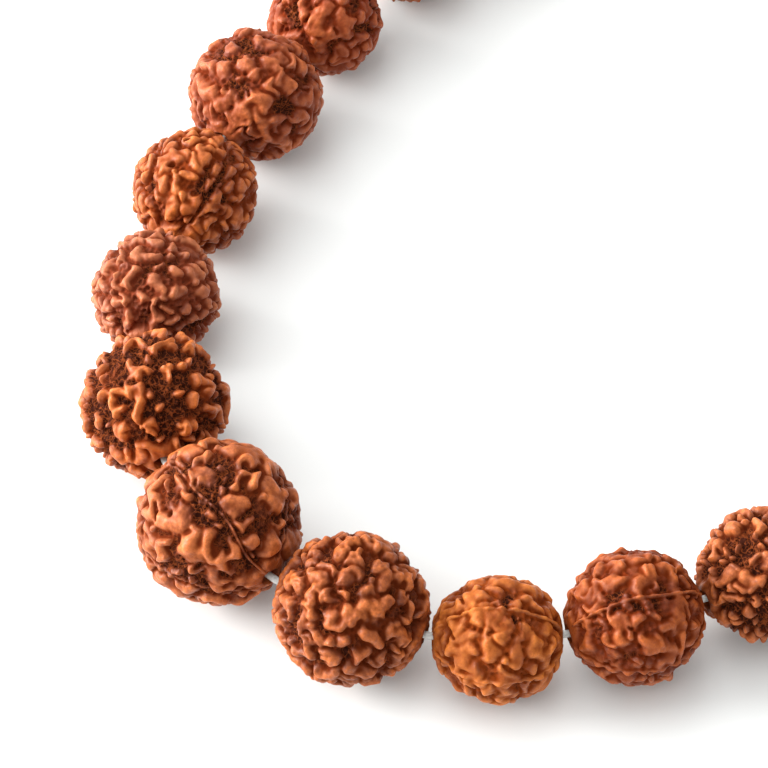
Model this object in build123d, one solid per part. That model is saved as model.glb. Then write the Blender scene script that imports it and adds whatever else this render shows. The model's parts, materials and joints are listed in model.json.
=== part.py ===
from build123d import *
import math
import os

# A strand of prayer beads: round seeds, each free to turn on one cord, which is tied into a
# closed loop beside the largest bead. It lies on a flat surface as a long oval: +X points along
# the oval to the largest bead, +Z points up from the surface. Millimetres and degrees.

# The seeds, in order along the cord from the knot, clockwise seen from above.
BEAD_DIAMETERS = [
    20.6, 18.8, 17.8, 19.6, 18.5, 20.2, 19.1, 18.4, 19.8,
    18.1, 18.4, 17.3, 20.7, 22.4, 20.6, 18.0, 18.2, 19.4, 16.9,
    18.7, 19.9, 18.6, 17.6, 19.2, 18.0, 19.4, 20.8,
]
GURU_DIAMETER = 23.0
BORE_DIAMETER = 2.6
MOUTH_DIAMETER = 4.2
FLARE_DEPTH = 0.9
SEGMENTS = 5
SEAM_RADIUS = 0.4
SPIN_STEP = 41.0

# The cord, and the knot and trimmed tails that close it.
CORD_DIAMETER = 1.0
BEAD_CLEARANCE = 0.3
BEND_REACH = 3.0
KNOT_STRETCH = 5.0
KNOT_BEND_REACH = 1.1
KNOT_LENGTH = 2.6
KNOT_DIAMETER = 3.0
KNOT_EDGE = 0.6
TAIL_LENGTH = 4.5
TAIL_SPREAD = 20.0
TAIL_DROOP = 25.0

# The oval that the strand lies in: its width over its length, how blunt its ends are (2 is an
# ellipse), and where on it the knot lies, measured from +X.
OVAL_RATIO = 0.55
OVAL_POWER = 2.17
KNOT_ANGLE = -11.0

FULL_TURN = 360.0
HALF_LENGTH_LIMITS = (60.0, 160.0)
BISECTIONS = 50
GAP_PASSES = 3


def oval(half_length, angle):
    """The point of an oval at an angle from +X."""
    along, across = math.cos(math.radians(angle)), math.sin(math.radians(angle))
    power = 2 / OVAL_POWER
    x = half_length * math.copysign(abs(along) ** power, along)
    y = half_length * OVAL_RATIO * math.copysign(abs(across) ** power, across)
    return Vector(x, y)


def bisect(low, high, too_low):
    """The value between low and high where too_low stops being true."""
    for _ in range(BISECTIONS):
        middle = (low + high) / 2
        if too_low(middle):
            low = middle
        else:
            high = middle
    return low


def walk(half_length, steps):
    """Points on the oval, each one straight step from the last, and the angle gone round in all,
    clockwise from the knot."""
    angle = KNOT_ANGLE
    points = [oval(half_length, angle)]
    for step in steps:
        here = points[-1]
        angle -= bisect(0, 90, lambda t: (oval(half_length, angle - t) - here).length < step)
        points.append(oval(half_length, angle))
    return points, KNOT_ANGLE - angle


def lay_out(diameters):
    """Where the cord bends, on both sides of the knot and then between each two beads, and the
    gap along it before each bead and after the last. Where the cord turns between two beads they
    lean towards each other, so that gap is wider. The cord's height there is the mean radius of
    the beads beside it."""
    gaps = [BEAD_CLEARANCE] * (len(diameters) + 1)
    for _ in range(GAP_PASSES):
        steps = [KNOT_STRETCH]
        steps += [d + (g + h) / 2 for d, g, h in zip(diameters, gaps, gaps[1:])]
        half_length = bisect(*HALF_LENGTH_LIMITS, lambda size: walk(size, steps)[1] > FULL_TURN)
        plan = walk(half_length, steps)[0]
        for i in range(1, len(diameters)):
            pair = (diameters[i - 1] + diameters[i]) / 2
            turn = (plan[i + 1] - plan[i]).get_angle(plan[i + 2] - plan[i + 1])
            gaps[i] = (pair + BEAD_CLEARANCE) / math.cos(math.radians(turn / 2)) - pair
    before = [diameters[-1]] * 2 + diameters[:-1]
    after = [diameters[0]] * 2 + diameters[1:]
    points = [Vector(p.X, p.Y, (b + a) / 4) for p, b, a in zip(plan, before, after)]
    return points, gaps


def make_bead(diameter):
    """A round seed on the X axis, with a bore flared at both mouths and a shallow seam from pole
    to pole between each two of its segments."""
    radius, bore, mouth = diameter / 2, BORE_DIAMETER / 2, MOUTH_DIAMETER / 2
    half = math.sqrt(radius**2 - mouth**2)
    neck = half - FLARE_DEPTH
    outside = ThreePointArc((-half, mouth), (0, radius), (half, mouth))
    inside = Polyline((half, mouth), (neck, bore), (-neck, bore), (-half, mouth))
    seed = revolve(make_face([outside, inside]), Axis.X)
    for i in range(SEGMENTS):
        seed -= Rot(X=i * FULL_TURN / SEGMENTS) * Torus(radius, SEAM_RADIUS, major_angle=180)
    return seed


def make_cord(start, bends, end):
    """The cord from one face of the knot round to the other: straight through each bead, with an
    arc in each gap that reaches a little way into both bores."""
    corners = [start] + bends + [end]
    radii = []
    for a, b, c in zip(corners, corners[1:], corners[2:]):
        reach = KNOT_BEND_REACH if b in (bends[0], bends[-1]) else BEND_REACH
        radii.append(reach / math.tan(math.radians((b - a).get_angle(c - b)) / 2))
    path = FilletPolyline(*corners, radius=radii)
    section = Plane(start, z_dir=bends[0] - start) * Circle(CORD_DIAMETER / 2)
    cord = sweep(section, path)
    print(f"cord {path.length:.1f} mm, tightest bend {min(radii):.1f} mm")
    print(f"cord volume over section times length {cord.volume / section.area / path.length:.5f}")
    return cord


def make_knot():
    """The closing knot, a round barrel along X, with the cord's two trimmed tails beside it."""
    barrel = Rot(Y=90) * Cylinder(KNOT_DIAMETER / 2, KNOT_LENGTH)
    barrel = fillet(barrel.edges().filter_by(GeomType.CIRCLE), KNOT_EDGE)
    up_from_middle = (Align.CENTER, Align.CENTER, Align.MIN)
    tail = Rot(X=-90 - TAIL_DROOP) * Cylinder(CORD_DIAMETER / 2, TAIL_LENGTH, align=up_from_middle)
    return barrel + Rot(Z=TAIL_SPREAD) * tail + Rot(Z=-TAIL_SPREAD) * tail


def place(part, centre, along):
    """A part made on the X axis, moved to its centre with that axis along the cord."""
    across = Vector(0, 0, 1).cross(along)
    return Plane(centre, x_dir=along, z_dir=along.cross(across)).location * part


def make_strand():
    """Every part by name, with the centre and the direction of each bead's bore."""
    diameters = BEAD_DIAMETERS + [GURU_DIAMETER]
    names = [f"bead_{i:02d}" for i in range(1, len(diameters))] + ["guru_bead"]
    points, gaps = lay_out(diameters)
    parts, bores = {}, {}
    for i, (name, diameter) in enumerate(zip(names, diameters)):
        start, end = points[i + 1], points[(i + 2) % len(points)]
        along = (end - start).normalized()
        centre = start + along * (diameter + gaps[i]) / 2
        centre.Z = diameter / 2
        bores[name] = (centre, along)
        parts[name] = place(Rot(X=i * SPIN_STEP) * make_bead(diameter), centre, along)
    middle, along = (points[0] + points[1]) / 2, (points[1] - points[0]).normalized()
    half_knot = along * (KNOT_LENGTH / 2)
    parts["closing_knot"] = place(make_knot(), middle, along)
    parts["cord"] = make_cord(middle + half_knot, points[1:] + points[:1], middle - half_knot)
    box = Compound(list(parts.values())).bounding_box()
    shift = Vector(-box.center().X, -box.center().Y, -box.min.Z)
    parts = {name: Pos(shift) * part for name, part in parts.items()}
    bores = {name: (centre + shift, along) for name, (centre, along) in bores.items()}
    return parts, bores


strand, bead_bores = make_strand()
os.makedirs("parts", exist_ok=True)
for node, solid in strand.items():
    export_step(solid, f"parts/{node}.step")
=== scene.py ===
import json
import math

import bpy
import numpy as np
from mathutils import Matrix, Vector


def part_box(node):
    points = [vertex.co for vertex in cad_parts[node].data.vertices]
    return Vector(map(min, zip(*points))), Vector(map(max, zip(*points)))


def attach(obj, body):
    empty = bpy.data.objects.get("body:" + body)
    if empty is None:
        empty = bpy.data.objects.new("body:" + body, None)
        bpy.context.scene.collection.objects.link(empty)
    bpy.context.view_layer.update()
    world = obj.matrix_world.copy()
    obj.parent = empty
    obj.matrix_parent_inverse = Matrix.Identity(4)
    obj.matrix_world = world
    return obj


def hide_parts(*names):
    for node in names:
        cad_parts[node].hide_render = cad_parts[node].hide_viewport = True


# A strand of rough seed beads on a thin cord, lying on a pale surface. Everything is placed from
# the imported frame. Lengths here are in millimetres, and MM turns them into metres, apart from
# those of the lights, the floor and the materials, which are in metres.

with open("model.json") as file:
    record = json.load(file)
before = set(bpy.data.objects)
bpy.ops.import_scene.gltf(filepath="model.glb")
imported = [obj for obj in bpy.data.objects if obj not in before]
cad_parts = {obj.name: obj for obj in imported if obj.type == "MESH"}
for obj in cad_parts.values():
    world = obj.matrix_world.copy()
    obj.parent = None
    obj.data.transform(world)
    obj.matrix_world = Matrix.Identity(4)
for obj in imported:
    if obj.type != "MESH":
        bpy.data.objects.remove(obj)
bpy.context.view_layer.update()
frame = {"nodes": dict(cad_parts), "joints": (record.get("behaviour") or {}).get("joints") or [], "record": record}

MM = 0.001
TURN = 2 * math.pi

# The camera looks down at one end of the oval, from beside it.
CAMERA_AZIMUTH = -45.45
CAMERA_ELEVATION = 54.5
CAMERA_DISTANCE = 538.6
CAMERA_TARGET = (-77.3, 5.3, 10.0)
CAMERA_LENS = 186.0

# Soft lights: how far round from the camera's side, elevation, size and power.
LIGHT_DISTANCE = 1.2
LIGHTS = {
    "key": (-97, 50, 2.0, 19),
    "side": (-94, 16, 0.7, 31),
    "back": (-165, 35, 0.9, 5),
}
WORLD_STRENGTH = 0.78
PAPER = (0.82, 0.845, 0.835)

# Grid of a bead's skin: steps round the bore, and from one mouth to the other. Beads that the
# camera is close to get the finer grid. BORE_STEPS is the rings inside the bore.
FINE_GRID = (416, 192)
PLAIN_GRID = (272, 124)
BORE_STEPS = 8
FINE_BEADS = [f"bead_{number:02d}" for number in range(10, 21)]

# A bead's bore and its mouth, and the share of its length that is straight. Round the mouth the
# relief gives way to a nearly level rim, between two angles from the mouth's edge, in radians.
BORE_RADIUS = 1.25
MOUTH_RADIUS = 1.4
BORE_SHARE = 0.86
RIM = (0.04, 0.24)
RIM_LEVEL = 0.9

# Each seed has five segments, and bulges by LOBE between their seams. LOBE_DROP is how much of that
# is taken off all round.
SEGMENTS = 5
LOBE = 0.25
LOBE_DROP = 0.8

# The relief. PROUD is how far the highest lumps may stand out from the CAD bead, and HIGH is the
# share of the skin that lies lower than its surface. MELT is how often the relief is evened out, and
# BROAD how often for the form that creases and crests are measured from.
PROUD = 0.45
HIGH = 0.88
MELT = 4
BROAD = 24

# A lump. TRIES is how many places are tried for it. SHORTER above 1 makes long ones rarer, BOW is
# how far it bends and REACH how far it goes from its middle, as shares of its length, EDGE is how
# steep its edge is, and TALL is the range of its height. FILL is how much of the crease between two
# lumps is filled.
TRIES = 10
SHORTER = 1.3
BOW = 0.3
REACH = 0.7
EDGE = 2.4
TALL = (0.85, 1.05)
FILL = 0.45

# A pit takes away this share of a lump's height. It is full depth from PIT_FLOOR of the way in.
PIT_DEPTH = 0.85
PIT_FLOOR = 0.8

# A seam's groove, from nothing left to whole, in its half widths. A thread's edge and top, from
# the middle of the seam, and how much of the crease beside it is filled.
GROOVE = (0.4, 1.8)
THREAD = (0.32, 0.06)
THREAD_FILL = 0.2

# Unevenness, as its size and the length of its waves. WARP bends the lumps, and RIPPLE is on their
# surface, each with a finer one for crumpled seeds. SWELL is the whole seed's. GROOVE_WAVES and
# THREAD_WAVES are shares of a seam's width and a thread's height.
WARP = (0.28, 3.4)
FINE_WARP = (0.12, 1.6)
RIPPLE = (0.09, 2.3)
FINE_RIPPLE = (0.06, 1.2)
SWELL = (0.12, 8.0)
GROOVE_WAVES = (0.5, 3.0)
THREAD_WAVES = (0.2, 1.6)

# Where ripples begin and where they are full, as shares of the relief's depth, and the same for the
# roughness of the valley floors. CRUMPLED is the roughness elsewhere on a fully crumpled seed.
RIPPLED = (0.3, 0.8)
ROUGH_BELOW = (0.6, 0.3)
ROUGHNESS = 0.12
CRUMPLED = 0.035
ROUGH_LENGTH = 0.9

# The cord's width, and how often one end is wound round the other in the closing knot, and how
# far to each side of its middle.
CORD_WIDTH = 1.0
KNOT_TURNS = 2
KNOT_REACH = 1.0

# The knot's two cords: along the strand, outwards from the loop and upwards from the knot's middle.
# The wound cord's turns come between its start and its tail.
WOUND_START = [(-1.9, 0, 0), (-1.4, 0.1, 0)]
WOUND_TAIL = [(1.5, 1.2, 0.4), (1.4, 2.4, -0.6), (1.4, 3.8, -1.9)]
THROUGH = [(1.9, 0, 0), (0.6, 0, 0), (-0.8, 0, 0), (-1.5, 0.5, 0), (-1.5, 1.6, -0.4), (-1.4, 3.8, -1.9)]

# The seeds' darker tone, and the colour of their creases and low places, each as a share of the
# lumps' colour; the crease colour is painted shade, on top of the seed's own darker valleys. The
# colours of the valley floors, darkened as painted shade in the deep valleys, and of the fibres on them.
SHADE = (0.60, 0.42, 0.42)
CREASE_SHADE_AND_TONE = (0.34, 0.20, 0.20)
VALLEY_FLOOR_AND_SHADE = (0.035, 0.008, 0.004)
FIBRE = (0.19, 0.043, 0.012)

# Noises that darken the skin: scale, detail and roughness, the range that counts, and the most that
# they do. They make broad patches, flecks and fine grit.
DARKER = [
    (230.0, 3.0, 0.55, 0.36, 0.64, 0.5),
    (1500.0, 4.0, 0.7, 0.46, 0.66, 0.55),
    (3200.0, 3.0, 0.7, 0.42, 0.62, 0.25),
]

# The scales of the fibres' three nets, and the half widths where a fibre ends and where it is full.
NETS = (620.0, 840.0, 1100.0)
FIBRE_EDGE = (0.028, 0.008)

# Roughness and specular level of the fibres and creases, and of the lumps.
DULL = (0.85, 0.03)
GLOSSY = (0.36, 0.28)

CORD_LIGHT = (0.88, 0.87, 0.83)
CORD_DARK = (0.70, 0.69, 0.65)


def layer(apart, narrow, wide, longest, tall=1.0, shortest=0, comb=0):
    """A layer of rounded lumps: how far apart they are, their least and greatest half width, the
    longest one's length, how tall they are as a share of the relief's depth, the shortest one's
    length, and how strongly they run round the bore, up to 1."""
    return dict(
        apart=apart, narrow=narrow, wide=wide, longest=longest, tall=tall, shortest=shortest, comb=comb,
    )


# How a seed looks, unless its own look says otherwise:
# - layers of lumps, the relief's depth, and how crumpled the lumps' own surface is
# - pits, which are holes in the lumps: their spacing and half width
# - seam, the half width of the groove between two segments, and thread, the height of a raised
#   thread along it as a share of the depth. wander is how unevenly both run, and spin turns them
#   round the bore, in degrees
# - top, the lumps' colour, dark, how light its darker tones and its painted crease shade are, and
#   bare, the height as a share of the depth below which fibres show
# - shuffle, which picks another random pattern
PLAIN = dict(
    layers=[layer(3.5, 1.0, 1.8, 3.6, 0.95), layer(3.9, 0.5, 1.0, 2.8, 1.05)], depth=1.35, crumple=0.8,
    pits=(9.0, 0.35), seam=0, thread=0, wander=1.0, spin=0, top=(0.60, 0.155, 0.032), dark=0.46,
    bare=0.2, shuffle=0,
)


def look(**changes):
    return {**PLAIN, **changes}


LOOKS = {
    "bead_10": look(
        layers=[layer(4.8, 1.0, 1.6, 3.0), layer(2.0, 0.5, 0.8, 0.9, 0.9)], depth=1.4, crumple=0.3,
        pits=(8.0, 0.45), top=(0.62, 0.165, 0.039), dark=0.45, bare=0.42,
    ),
    "bead_11": look(
        layers=[layer(3.0, 1.0, 1.7, 3.0, 0.9, comb=0.6), layer(3.5, 0.5, 0.9, 3.0, comb=0.6)], depth=1.05,
        crumple=0.3, thread=1.15, wander=0.3, spin=15, top=(0.51, 0.12, 0.021), dark=0.7, bare=0.1,
    ),
    "bead_12": look(
        layers=[layer(3.0, 1.0, 1.5, 3.2, 0.9, comb=0.7), layer(3.5, 0.8, 1.1, 3.0, comb=0.7)],
        depth=1.0, crumple=0.1, pits=(6.0, 0.55), thread=1.15, wander=0.3, spin=4, top=(0.70, 0.205, 0.031),
        dark=0.8, bare=0.0,
    ),
    "bead_13": look(),
    "bead_14": look(
        layers=[layer(6.0, 1.8, 2.9, 4.5, 0.9), layer(4.4, 0.8, 1.3, 4.0), layer(3.6, 0.5, 0.8, 0.8, 0.85)],
        depth=1.4, crumple=0.3, pits=(6.5, 0.7), seam=0.4, thread=0.65, spin=20, top=(0.66, 0.178, 0.043),
        dark=0.52, bare=0.34, shuffle=1005,
    ),
    "bead_15": look(
        layers=[layer(4.4, 0.65, 1.2, 5.0), layer(3.3, 0.65, 0.95, 0.5, 0.9)], depth=1.5, crumple=0.5,
        pits=(12.0, 0.4), top=(0.64, 0.172, 0.032), dark=0.75, bare=0.45,
    ),
    "bead_16": look(
        layers=[layer(2.7, 0.75, 1.1, 2.0, 0.9), layer(3.2, 0.55, 0.8, 0.8)], depth=1.2, crumple=0.4,
        pits=(3.8, 0.5), top=(0.53, 0.165, 0.060), dark=0.85, bare=0.15,
    ),
    "bead_17": look(
        layers=[layer(2.4, 0.9, 1.25, 1.2, 0.95), layer(2.9, 0.6, 0.85, 0.6)], depth=1.05, crumple=0.1,
        seam=0.25, spin=-30, top=(0.60, 0.16, 0.030), dark=0.75, bare=0.05,
    ),
    "bead_18": look(
        layers=[layer(3.5, 1.1, 1.8, 3.2, 0.95), layer(3.8, 0.55, 0.95, 2.2)], depth=1.1, crumple=0.5,
        pits=(6.0, 0.4), top=(0.53, 0.135, 0.036), dark=0.75,
    ),
    "bead_19": look(
        layers=[layer(3.1, 1.0, 1.7, 2.5, 0.95), layer(3.4, 0.6, 0.9, 1.2)], depth=1.1, crumple=0.4,
        top=(0.46, 0.11, 0.026), dark=1.0,
    ),
}


def unit(vector):
    return vector / np.linalg.norm(vector)


def smooth(low, high, value):
    """0 at low and beyond it, 1 at high and beyond that, and an even curve between."""
    t = np.clip((value - low) / (high - low), 0, 1)
    return t * t * (3 - 2 * t)


def waves(points, length, seed, count=40, spread=0.3):
    """A smooth random field of unit size, with its ups and downs about one length apart."""
    rng = np.random.default_rng(seed)
    way = rng.normal(size=(count, 3))
    way /= np.linalg.norm(way, axis=1)[:, None]
    number = TURN / length * (1 + spread * (2 * rng.random(count) - 1))
    k = (way * number[:, None]).astype(np.float32)
    phase = points.astype(np.float32) @ k.T + (TURN * rng.random(count)).astype(np.float32)
    return math.sqrt(2 / count) * np.cos(phase).sum(1)


def uneven(points, kind, seed, share=1):
    """Waves of the size and length in kind, or a share of that size."""
    size, length = kind
    return size * share * waves(points, length, seed)


def warped(points, kind, seed, share=1):
    """The points, each moved a little, so that what is placed by them isn't too even."""
    size, length = kind
    shift = [waves(points, length, seed + i, count=24) for i in range(3)]
    return points + size * share * np.stack(shift, 1)


def scatter(count, rng):
    """Directions spread fairly evenly, but in no pattern: each is the one of a few tries that lies
    furthest from those before it."""
    found = np.empty((count, 3))
    found[0] = unit(rng.normal(size=3))
    for i in range(1, count):
        tries = rng.normal(size=(TRIES, 3))
        tries /= np.linalg.norm(tries, axis=1)[:, None]
        found[i] = tries[(tries @ found[:i].T).max(1).argmin()]
    return found


def inside_line(points, start, end, widths):
    """How far inside a straight finger each point is, from 0 at its edge to 1 along its middle.
    Its half width changes evenly from one end to the other."""
    along = end - start
    share = np.clip((points - start) @ along / max(along @ along, 1e-6), 0, 1)
    away = np.linalg.norm(points - start - share[:, None] * along, axis=1)
    return 1 - away / (widths[0] + (widths[1] - widths[0]) * share)


def dome(inside):
    """A lump's section: steep at its edge, at 0, and rounded over to its middle, at 1."""
    return 1 - (1 - np.clip(inside, 0, 1)) ** EDGE


def union(a, b, fill):
    """The higher of two surfaces, with the crease between them filled a little."""
    return np.maximum(a, b) + np.maximum(fill - np.abs(a - b), 0) ** 2 / (4 * fill)


def lumps(place, radius, kind, rng):
    """For each lump of a layer, the points on it and how far inside it they are. A lump is a bent
    finger that is wider in one place than in another."""
    count = round(2 * TURN * (radius / kind["apart"]) ** 2)
    for way in scatter(count, rng):
        widths = rng.uniform(kind["narrow"], kind["wide"], 3)
        length = kind["shortest"] + (kind["longest"] - kind["shortest"]) * rng.random() ** SHORTER
        turn = unit(np.cross(way, rng.normal(size=3) * (1, 1 - kind["comb"], 1 - kind["comb"])))
        bow = np.cross(way, turn) * length * rng.normal() * BOW
        path = [way * radius - turn * length / 2, way * radius + bow, way * radius + turn * length / 2]
        start, middle, end = (radius * unit(p) for p in path)
        reach = length * REACH + widths.max()
        near = np.nonzero(place @ way.astype(np.float32) > radius - reach**2 / (2 * radius))[0]
        first = inside_line(place[near], start, middle, widths[:2])
        yield near, np.maximum(first, inside_line(place[near], middle, end, widths[1:]))


def seed_relief(points, across, look, seed):
    """The relief's height over the valley floors, at points on a sphere. across is how far each of
    them is from the nearest seam between two segments."""
    rng = np.random.default_rng(seed)
    radius, depth = np.linalg.norm(points[0]), look["depth"]
    place = warped(warped(points, WARP, seed + 10), FINE_WARP, seed + 20, look["crumple"])
    place *= (radius / np.linalg.norm(place, axis=1))[:, None]
    height = np.zeros(len(points))
    for kind in look["layers"]:
        for near, inside in lumps(place, radius, kind, rng):
            tall = depth * kind["tall"] * rng.uniform(*TALL)
            height[near] = union(height[near], tall * dome(inside), FILL)
    apart, wide = look["pits"]
    pits = layer(apart, 0.5 * wide, 1.2 * wide, 4.0 * wide, shortest=1.5 * wide)
    for near, inside in lumps(place, radius, pits, rng):
        height[near] *= 1 - PIT_DEPTH * smooth(0, PIT_FLOOR, inside)
    if look["seam"]:
        height *= smooth(*GROOVE, across / (look["seam"] * (1 + uneven(points, GROOVE_WAVES, seed + 2))))
    if look["thread"]:
        thread = smooth(*THREAD, across) * (1 + uneven(points, THREAD_WAVES, seed + 6))
        height = union(height, depth * look["thread"] * thread, THREAD_FILL)
    ripple = uneven(points, RIPPLE, seed + 4) + uneven(points, FINE_RIPPLE, seed + 5, look["crumple"])
    height += ripple * smooth(*RIPPLED, height / depth) + uneven(points, SWELL, seed + 3)
    return height + depth - np.quantile(height, HIGH)


def smoothed(height, times):
    """A grid of heights with its small bumps and creases evened out."""
    for _ in range(times):
        ends = np.concatenate([height[:1], height, height[-1:]])
        height = (ends[:-2] + ends[2:] + np.roll(height, 1, 1) + np.roll(height, -1, 1)) / 8 + height / 2
    return height


def bead_points(centre, bore, radius, look, seed, steps_round, steps_along):
    """The seed's skin and bore as one closed grid, with what its material needs at each point: how
    high it is, from 0 in the valleys to 1, and how far it stands out from what is round it."""
    side = unit(np.cross((0, 0, 1), bore))
    up = np.cross(bore, side)

    # Directions from the bead's middle: p is the angle from the bore, and a is the angle round it.
    first = math.asin(MOUTH_RADIUS / radius)
    polar = np.linspace(first, math.pi - first, steps_along)
    angles = TURN * np.arange(steps_round) / steps_round
    p, a = (grid.ravel() for grid in np.meshgrid(polar, angles, indexing="ij"))
    way = np.stack([np.cos(p), np.sin(p) * np.cos(a), np.sin(p) * np.sin(a)], 1)

    # The seams between segments run from mouth to mouth, and wander a little.
    wobble = look["wander"] * (0.10 * np.sin(2 * p + seed) + 0.05 * np.sin(5 * p + 2 * seed))
    segments = (a + wobble - math.radians(look["spin"])) / (TURN / SEGMENTS)
    off_seam = segments - np.round(segments)
    across = np.abs(off_seam) * (TURN / SEGMENTS) * np.sin(p) * radius

    # The relief, which is nearly level round each mouth.
    height = seed_relief(way * radius, across, look, seed)
    height += LOBE * (1 - np.cos(TURN * off_seam)) / 2 - LOBE * LOBE_DROP
    height = smoothed(height.reshape(steps_along, -1), MELT).ravel()
    near_mouth = 1 - smooth(*RIM, np.minimum(p, math.pi - p) - first)
    height += (look["depth"] - height) * near_mouth * RIM_LEVEL
    rise = height / look["depth"]
    crown = height - smoothed(height.reshape(steps_along, -1), BROAD).ravel()
    fine = CRUMPLED * look["crumple"] + ROUGHNESS * smooth(*ROUGH_BELOW, rise)
    height += fine * waves(way * radius, ROUGH_LENGTH, seed + 6)
    drop = np.maximum(look["depth"] - height, -PROUD * np.sin(p))
    skin = (way * (radius - drop)[:, None]).reshape(steps_along, steps_round, 3)

    # The bore is a straight tube. The grid wraps from it to the skin at both mouths.
    half = BORE_SHARE * radius * math.cos(first)
    along = half * (2 * (np.arange(BORE_STEPS) + 0.5) / BORE_STEPS - 1)
    inside = np.empty((BORE_STEPS, steps_round, 3))
    inside[..., 0] = along[:, None]
    inside[..., 1] = BORE_RADIUS * np.cos(angles)
    inside[..., 2] = BORE_RADIUS * np.sin(angles)
    points = centre + np.concatenate([skin, inside]) @ np.array([bore, up, side]) * MM
    in_bore = np.zeros((BORE_STEPS, steps_round))
    values = {"rise": rise, "crown": crown}
    return points, {
        key: np.concatenate([value.reshape(steps_along, -1), in_bore]) for key, value in values.items()
    }


def grid_mesh(name, points, values):
    """A closed grid that wraps both ways, as a smooth mesh with a UV map, and with a value per
    point for each name in values."""
    rows, columns = points.shape[:2]
    i, j = np.meshgrid(np.arange(rows), np.arange(columns), indexing="ij")
    i2, j2 = (i + 1) % rows, (j + 1) % columns
    quads = np.stack([i * columns + j, i * columns + j2, i2 * columns + j2, i2 * columns + j], -1)
    mesh = bpy.data.meshes.new(name)
    mesh.vertices.add(rows * columns)
    mesh.vertices.foreach_set("co", points.reshape(-1).astype(np.float32))
    mesh.loops.add(quads.size)
    mesh.loops.foreach_set("vertex_index", quads.reshape(-1).astype(np.int32))
    mesh.polygons.add(rows * columns)
    mesh.polygons.foreach_set("loop_start", np.arange(0, quads.size, 4, dtype=np.int32))
    mesh.update(calc_edges=True)
    mesh.shade_smooth()
    corners = [np.stack([j, i], -1) + step for step in ((0, 0), (1, 0), (1, 1), (0, 1))]
    uv = np.stack(corners, 2) / np.array([columns, rows])
    uv_map = mesh.uv_layers.new(name="OFBake")
    uv_map.uv.foreach_set("vector", uv.reshape(-1).astype(np.float32))
    for key, value in values.items():
        attribute = mesh.attributes.new(key, "FLOAT", "POINT")
        attribute.data.foreach_set("value", value.reshape(-1).astype(np.float32))
    return mesh


class Nodes:
    """A short way to write a material's nodes."""

    def __init__(self, name):
        self.material = bpy.data.materials.new(name)
        self.material.use_nodes = True
        self.tree = self.material.node_tree
        self.shader = self.tree.nodes["Principled BSDF"]

    def put(self, socket, value):
        if isinstance(value, bpy.types.NodeSocket):
            self.tree.links.new(value, socket)
        elif socket.type == "RGBA":
            socket.default_value = (*value, 1)
        else:
            socket.default_value = value

    def add(self, kind, inputs, **settings):
        node = self.tree.nodes.new(kind)
        for key, value in settings.items():
            setattr(node, key, value)
        for key, value in inputs.items():
            self.put(node.inputs[key], value)
        return node

    def finish(self, **inputs):
        """Feeds the shader, with _ for each space in an input's name."""
        for key, value in inputs.items():
            self.put(self.shader.inputs[key.replace("_", " ")], value)
        return self.material

    def value(self, name):
        return self.add("ShaderNodeAttribute", {}, attribute_name=name).outputs["Fac"]

    def noise(self, scale, detail=3.0, rough=0.55):
        place = self.add("ShaderNodeTexCoord", {}).outputs["Object"]
        inputs = {"Vector": place, "Scale": scale, "Detail": detail, "Roughness": rough}
        return self.add("ShaderNodeTexNoise", inputs).outputs["Fac"]

    def fibres(self, scale):
        """1 on thin wandering lines, 0 between them."""
        away = self.maths("ABSOLUTE", self.maths("SUBTRACT", self.noise(scale, 1.0), 0.5), 0)
        return self.span(away, *FIBRE_EDGE)

    def span(self, value, low, high, start=0.0, end=1.0):
        """start where the value is low, end where it is high, and in proportion between."""
        inputs = {"Value": value, "From Min": low, "From Max": high, "To Min": start, "To Max": end}
        return self.add("ShaderNodeMapRange", inputs).outputs["Result"]

    def blend(self, factor, a, b):
        node = self.add("ShaderNodeMix", {0: factor}, data_type="RGBA")
        self.put(node.inputs[6], a)
        self.put(node.inputs[7], b)
        return node.outputs[2]

    def maths(self, kind, a, b):
        return self.add("ShaderNodeMath", {0: a, 1: b}, operation=kind).outputs[0]


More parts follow.
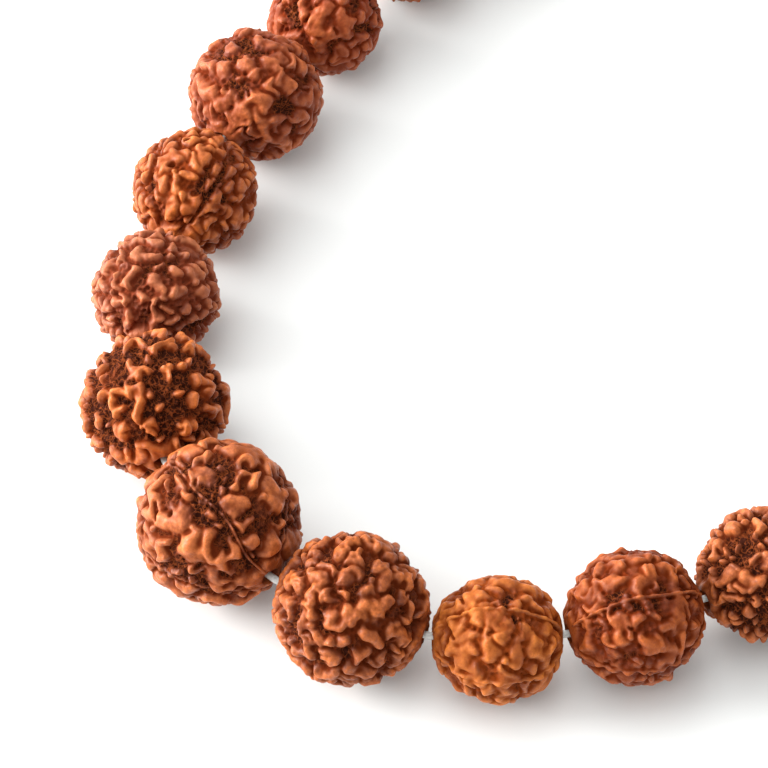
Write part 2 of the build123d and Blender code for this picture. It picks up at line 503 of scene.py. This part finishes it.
def seed_material(name, look):
    n = Nodes(name)
    rise, crown = n.value("rise"), n.value("crown")
    shade = [look["dark"] * share * colour for share, colour in zip(SHADE, look["top"])]
    crease_shade_and_tone = [look["dark"] * share * colour for share, colour in zip(CREASE_SHADE_AND_TONE, look["top"])]

    # The skin is darker in places. Low down, by a ragged edge, and in creases it takes a darker, redder
    # colour: painted shade, on top of the seed's own darker valleys.
    skin = look["top"]
    for scale, detail, rough, least, most, amount in DARKER:
        skin = n.blend(n.span(n.noise(scale, detail, rough), least, most, 0.0, amount), skin, shade)
    shade_and_tone_level = n.maths("ADD", rise, n.span(n.noise(600.0, 3.0, 0.6), 0.3, 0.7, -0.2, 0.2))
    skin = n.blend(n.maths("MULTIPLY", n.span(shade_and_tone_level, 0.35, 1.0, 1.0, 0.0), 0.9), skin, crease_shade_and_tone)
    # Painted shade in the creases, on top of the seed's own darker colour there.
    crease = n.span(crown, -0.12, 0.08, 1.0, 0.0)
    skin = n.blend(crease, skin, crease_shade_and_tone)

    # Below another ragged edge, fibres cover the valley floors: skin_share is 0 there and 1 on skin.
    fibre = n.fibres(NETS[0])
    for scale in NETS[1:]:
        fibre = n.maths("MAXIMUM", fibre, n.fibres(scale))
    ragged = n.maths("ADD", rise, n.span(n.noise(1200.0), 0.3, 0.7, -0.1, 0.1))
    skin_share = n.span(ragged, look["bare"] - 0.2, look["bare"] + 0.05)
    # The valley floors' near-black colour is partly painted shade in the deep valleys.
    colour = n.blend(skin_share, n.blend(fibre, VALLEY_FLOOR_AND_SHADE, FIBRE), skin)

    # Fibres and creases are dull. The skin is grainy, and fibres stand up a little.
    shine = n.maths("MULTIPLY", skin_share, n.span(crease, 0.0, 0.8, 1.0, 0.0))
    grain = n.maths("ADD", n.maths("MULTIPLY", n.noise(2600.0, 4.0, 0.7), 0.9), n.noise(700.0, 3.0))
    height = n.maths("ADD", grain, n.maths("MULTIPLY", fibre, n.span(skin_share, 0, 1, 1.5, 0)))
    bump = n.add("ShaderNodeBump", {"Strength": 0.45, "Distance": 0.0003, "Height": height})
    return n.finish(
        Base_Color=colour,
        Roughness=n.span(shine, 0, 1, DULL[0], GLOSSY[0]),
        Specular_IOR_Level=n.span(shine, 0, 1, DULL[1], GLOSSY[1]),
        Normal=bump.outputs["Normal"],
    )


def cord_material():
    n = Nodes("cord")
    streak = n.span(n.noise(3000.0, 2.0), 0.35, 0.65)
    colour = n.blend(streak, CORD_LIGHT, CORD_DARK)
    return n.finish(Base_Color=colour, Roughness=0.22, Transmission_Weight=0.25)


def link(name, data):
    """A new object with this data, in the scene."""
    thing = bpy.data.objects.new(name, data)
    bpy.context.collection.objects.link(thing)
    return thing


def seed_radius(node):
    low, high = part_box(node)
    return (high[2] - low[2]) / 2 / MM


def make_bead(number, node, joint, look):
    centre, bore = np.array(joint["pos_m"]), unit(np.array(joint["axis"]))
    grid = FINE_GRID if node in FINE_BEADS else PLAIN_GRID
    seed = 100 * number + look["shuffle"]
    points, values = bead_points(centre, bore, seed_radius(node), look, seed, *grid)
    name = f"seed_{number:02d}"
    bead = link(name, grid_mesh(name, points, values))
    bead.data.materials.append(seed_material(name, look))
    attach(bead, joint["child"])
    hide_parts(node)


def round_cords(name, routes, radius):
    """Round cords, each along a smooth line by its own points, as one mesh."""
    curve = bpy.data.curves.new(name, "CURVE")
    curve.dimensions = "3D"
    curve.bevel_depth = radius
    curve.bevel_resolution = 5
    curve.resolution_u = 8
    curve.use_fill_caps = True
    for route in routes:
        spline = curve.splines.new("NURBS")
        spline.points.add(len(route) - 1)
        for point, place in zip(spline.points, route):
            point.co = (*place, 1)
        spline.order_u = 4
        spline.use_endpoint_u = True
    line = bpy.data.objects.new(name, curve)
    mesh = bpy.data.meshes.new_from_object(line)
    bpy.data.objects.remove(line)
    return mesh


def make_knot(first, last, material):
    """The closing knot, between the first bead and the last: one end of the cord runs through, and
    the other is wound round it, and both leave as short tails on the strand's outside."""
    leave = np.array(last["pos_m"]) + np.array(last["axis"]) * seed_radius("guru_bead") * MM
    arrive = np.array(first["pos_m"]) - np.array(first["axis"]) * seed_radius("bead_01") * MM
    middle, along = (leave + arrive) / 2, unit(arrive - leave)
    across = unit(np.cross((0, 0, 1), along))
    axes = np.array([along, across, np.cross(along, across)])
    turns = TURN * np.linspace(0, KNOT_TURNS, 10 * KNOT_TURNS + 1)
    reach = np.linspace(-KNOT_REACH, KNOT_REACH, len(turns))
    winding = [(x, -math.sin(t) * CORD_WIDTH, math.cos(t) * CORD_WIDTH) for x, t in zip(reach, turns)]
    routes = (WOUND_START + winding + WOUND_TAIL, THROUGH)
    placed = [middle + np.array(route) @ axes * MM for route in routes]
    knot = link("knot", round_cords("knot", placed, CORD_WIDTH / 2 * MM))
    knot.data.materials.append(material)
    knot.data.shade_smooth()
    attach(knot, "root")
    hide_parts("closing_knot")


def make_floor():
    bpy.ops.mesh.primitive_plane_add(size=6)
    floor = bpy.context.object
    floor.name = "floor"
    floor.data.materials.append(Nodes("floor").finish(Base_Color=PAPER, Roughness=0.6))


def from_angles(azimuth, elevation):
    a, e = math.radians(azimuth), math.radians(elevation)
    return Vector((math.sin(a) * math.cos(e), -math.cos(a) * math.cos(e), math.sin(e)))


def aim(thing, place, target):
    way = (target - place).normalized()
    thing.location = place
    thing.rotation_mode = "QUATERNION"
    thing.rotation_quaternion = way.to_track_quat("-Z", "Y")


def make_camera():
    camera = link("camera", bpy.data.cameras.new("camera"))
    camera.data.lens = CAMERA_LENS
    camera.data.clip_start, camera.data.clip_end = 0.01, 20
    target = Vector(CAMERA_TARGET) * MM
    aim(camera, target + from_angles(CAMERA_AZIMUTH, CAMERA_ELEVATION) * CAMERA_DISTANCE * MM, target)
    bpy.context.scene.camera = camera


def make_lights():
    bpy.context.scene.view_settings.view_transform = "Standard"
    for name, (azimuth, elevation, size, power) in LIGHTS.items():
        light = link(name, bpy.data.lights.new(name, "AREA"))
        light.data.size, light.data.energy = size, power
        aim(light, from_angles(CAMERA_AZIMUTH + azimuth, elevation) * LIGHT_DISTANCE, Vector((0, 0, 0)))
    world = bpy.data.worlds.new("world")
    bpy.context.scene.world = world
    world.use_nodes = True
    world.node_tree.nodes["Background"].inputs["Color"].default_value = (1, 1, 1, 1)
    world.node_tree.nodes["Background"].inputs["Strength"].default_value = WORLD_STRENGTH


make_camera()
make_lights()
make_floor()

# A seed with no look of its own takes one of the others, every third in turn.
joints = frame["joints"]
spare_looks = list(LOOKS.values())
for number, joint in enumerate(joints, 1):
    node = frame["record"]["behaviour"]["bodies"][joint["child"]][0]
    make_bead(number, node, joint, LOOKS.get(node, spare_looks[3 * number % len(spare_looks)]))

plastic = cord_material()
frame["nodes"]["cord"].data.materials.clear()
frame["nodes"]["cord"].data.materials.append(plastic)
make_knot(joints[0], joints[-1], plastic)
